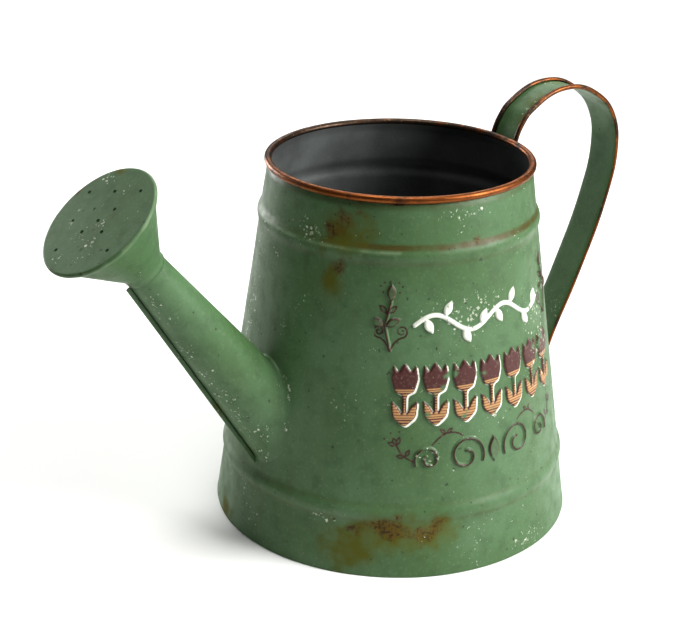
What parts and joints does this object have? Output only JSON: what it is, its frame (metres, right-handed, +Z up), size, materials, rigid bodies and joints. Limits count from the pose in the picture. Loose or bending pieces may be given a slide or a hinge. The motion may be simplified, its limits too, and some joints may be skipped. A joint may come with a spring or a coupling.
{
  "type": "watering can",
  "caption": "Tapered sheet-metal watering can with a swaged, stamped wall, a long seamed spout, a perforated rose and a rolled-edge strap handle.",
  "frame": {"origin": "middle of the can's box on the surface it stands on; the can's own axis is parallel to Z at x = +23.06 mm", "axes": "+Z up, -X from the body towards the spout and rose, +X towards the handle, -Y out of the ornamented front"},
  "size_m": [0.3185, 0.1758, 0.1986],
  "materials": {
    "green_paint": "worn sage green paint on steel sheet, with copper-coloured rolled edges, rust stains and pale chips",
    "shaded_green_paint": "dull green paint on steel sheet, charcoal grey inside the can"
  },
  "bodies": {
    "root": {"body_wall": "green_paint", "bottom_disc": "shaded_green_paint", "spout_tube": "green_paint", "rose_cone": "green_paint", "rose_face": "green_paint", "handle_strap": "green_paint"}
  },
  "joints": []
}
